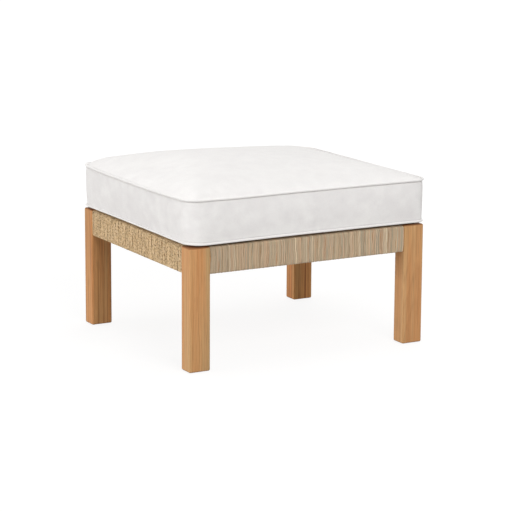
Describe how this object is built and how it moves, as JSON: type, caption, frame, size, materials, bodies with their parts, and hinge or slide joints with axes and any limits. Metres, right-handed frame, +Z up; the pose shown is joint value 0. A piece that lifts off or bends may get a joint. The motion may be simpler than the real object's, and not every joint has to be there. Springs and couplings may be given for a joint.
{
  "type": "outdoor ottoman",
  "caption": "Low square-legged teak footstool with cord-wrapped rails, a slatted deck and a thick crowned box cushion with welted edges that lifts off.",
  "frame": {"origin": "on the floor under the middle of the footstool", "axes": "+Z up, +X along the long side, front at -Y, zip at the back at +Y"},
  "size_m": [0.719, 0.6422, 0.4992],
  "materials": {
    "teak": "oiled, straight vertical grain, lightly rounded edges",
    "teak_slat": "sanded",
    "teak_core": "planed",
    "smooth_cord": "flat smooth strands in mixed straw, grey and brown",
    "twisted_cord": "twisted and crinkled straw-coloured strands",
    "cushion_fabric": "plain weave, matt",
    "welt_fabric": "plain weave over a cord",
    "fibre": "polyester wadding",
    "foam": "open-cell foam",
    "glide_plastic": "moulded",
    "steel": "stainless, satin",
    "zip_plastic": "moulded coil on woven tape",
    "zip_metal": "die cast, satin"
  },
  "bodies": {
    "frame": {"leg_front_left": "teak", "glide_front_left": "glide_plastic", "leg_front_right": "teak", "glide_front_right": "glide_plastic", "leg_back_left": "teak", "glide_back_left": "glide_plastic", "leg_back_right": "teak", "glide_back_right": "glide_plastic", "rail_front": "teak_core", "wrap_front": "smooth_cord", "rail_back": "teak_core", "wrap_back": "smooth_cord", "rail_left": "teak_core", "wrap_left": "twisted_cord", "rail_right": "teak_core", "wrap_right": "twisted_cord", "bearer_left": "teak_core", "bearer_right": "teak_core", "slat_1": "teak_slat", "screw_left_1": "steel", "screw_right_1": "steel", "slat_2": "teak_slat", "screw_left_2": "steel", "screw_right_2": "steel", "slat_3": "teak_slat", "screw_left_3": "steel", "screw_right_3": "steel", "slat_4": "teak_slat", "screw_left_4": "steel", "screw_right_4": "steel", "slat_5": "teak_slat", "screw_left_5": "steel", "screw_right_5": "steel", "slat_6": "teak_slat", "screw_left_6": "steel", "screw_right_6": "steel", "slat_7": "teak_slat", "screw_left_7": "steel", "screw_right_7": "steel"},
    "cushion": {"cushion_cover": "cushion_fabric", "cushion_fibre_wrap": "fibre", "cushion_foam": "foam", "welt_lower": "welt_fabric", "welt_upper": "welt_fabric", "zip_chain": "zip_plastic"},
    "slider": {"zip_slider": "zip_metal"},
    "pull": {"zip_pull": "zip_metal"}
  },
  "joints": [
    {"name": "cushion_lift", "type": "slide", "parent": "frame", "child": "cushion", "axis": [0, 0, 1], "range_m": [0, 0.25]},
    {"name": "zip_travel", "type": "slide", "parent": "cushion", "child": "slider", "axis": [1, 0, 0], "range_m": [0, 0.3904]},
    {"name": "pull_swing", "type": "hinge", "parent": "slider", "child": "pull", "pos_m": [-0.1952, 0.31914, 0.3877], "axis": [1, 0, 0], "range_deg": [0, 170]}
  ]
}
